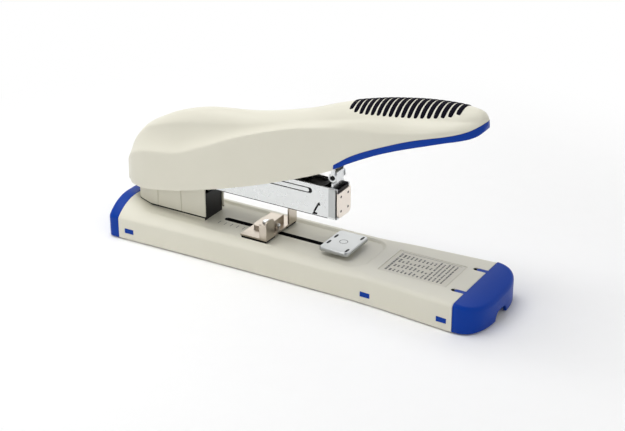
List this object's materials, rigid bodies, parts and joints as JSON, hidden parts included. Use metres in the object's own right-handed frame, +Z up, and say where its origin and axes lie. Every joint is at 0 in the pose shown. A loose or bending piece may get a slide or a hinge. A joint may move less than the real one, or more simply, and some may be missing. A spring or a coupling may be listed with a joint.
{
  "type": "heavy-duty desk stapler",
  "caption": "Long-arm desk stapler: lever handle over a hinged magazine and driver, on a moulded base with a turnable anvil and a sliding paper-depth guide.",
  "frame": {"origin": "under the middle of the base, on the surface that it stands on", "axes": "+X to the front end of the base and the handle's grip, +Y to the left side seen from behind, +Z up"},
  "size_m": [0.294, 0.07, 0.1407],
  "materials": {
    "cream_plastic": "fine textured moulding",
    "blue_plastic": "fine textured moulding",
    "grip_rubber": "matte",
    "foot_rubber": "matte",
    "plated_steel": "bright plated",
    "black_steel": "satin black",
    "spring_steel": "plain",
    "label": "printed film",
    "black_plastic": "satin moulding"
  },
  "bodies": {
    "base": {"base_housing": "cream_plastic", "front_cap": "blue_plastic", "rear_cap": "blue_plastic", "bottom_cover": "blue_plastic", "rubber_feet": "foot_rubber", "cover_screws": "plated_steel", "label_panel": "label", "chassis_plate": "black_steel", "hinge_bracket": "black_steel", "bracket_screws": "plated_steel", "pedestal_cover": "cream_plastic", "pivot_pin": "plated_steel", "pin_rings": "spring_steel", "lift_spring": "spring_steel"},
    "handle": {"handle_shell": "cream_plastic", "handle_trim": "blue_plastic", "grip_ribs": "grip_rubber", "handle_lever": "black_steel", "handle_screws": "plated_steel", "drive_yoke": "plated_steel", "yoke_rivets": "plated_steel"},
    "magazine": {"magazine_channel": "plated_steel", "face_plate": "plated_steel", "face_rivets": "plated_steel", "head_guide": "black_steel", "staple_rail": "black_steel", "rod_bracket": "black_steel", "rear_stop": "black_steel", "pusher_rod": "plated_steel", "return_spring": "spring_steel", "pusher_spring": "spring_steel"},
    "driver": {"driver_blade": "plated_steel", "driver_carrier": "plated_steel", "driver_pin": "black_steel"},
    "pusher": {"pusher": "black_plastic"},
    "guide": {"guide_plate": "plated_steel", "guide_runner": "black_plastic", "guide_keeper": "plated_steel", "guide_clamp": "plated_steel", "guide_rivet": "plated_steel", "guide_stud": "plated_steel"},
    "anvil": {"anvil_plate": "plated_steel", "anvil_post": "plated_steel", "anvil_spring": "spring_steel", "anvil_clip": "spring_steel"}
  },
  "joints": [
    {"name": "handle_press", "type": "hinge", "parent": "base", "child": "handle", "pos_m": [-0.112, 0, 0.062], "axis": [0, 1, 0], "range_deg": [0, 15.7], "stiffness_Nm_per_rad": 2, "springref_deg": -20.05},
    {"name": "magazine_swing", "type": "hinge", "parent": "base", "child": "magazine", "pos_m": [-0.112, 0, 0.062], "axis": [0, 1, 0], "range_deg": [0, 7.45], "deforming": ["lift_spring"]},
    {"name": "driver_stroke", "type": "slide", "parent": "magazine", "child": "driver", "axis": [0, 0, -1], "range_m": [0, 0.0197], "deforming": ["return_spring"]},
    {"name": "pusher_slide", "type": "slide", "parent": "magazine", "child": "pusher", "axis": [-1, 0, 0], "range_m": [0, 0.058], "stiffness_N_per_m": 40, "springref_m": -0.05, "deforming": ["pusher_spring"]},
    {"name": "guide_slide", "type": "slide", "parent": "base", "child": "guide", "axis": [1, 0, 0], "range_m": [-0.024, 0.029]},
    {"name": "anvil_turn", "type": "hinge", "parent": "base", "child": "anvil", "pos_m": [0.02829, 0, 0.025], "axis": [0, 0, 1], "range_deg": [0, 180]}
  ],
  "couplings": [
    {"joint": "magazine_swing", "follows": "handle_press", "ratio": 0.47134},
    {"joint": "driver_stroke", "follows": "handle_press", "m_per_rad": 0.071543}
  ]
}
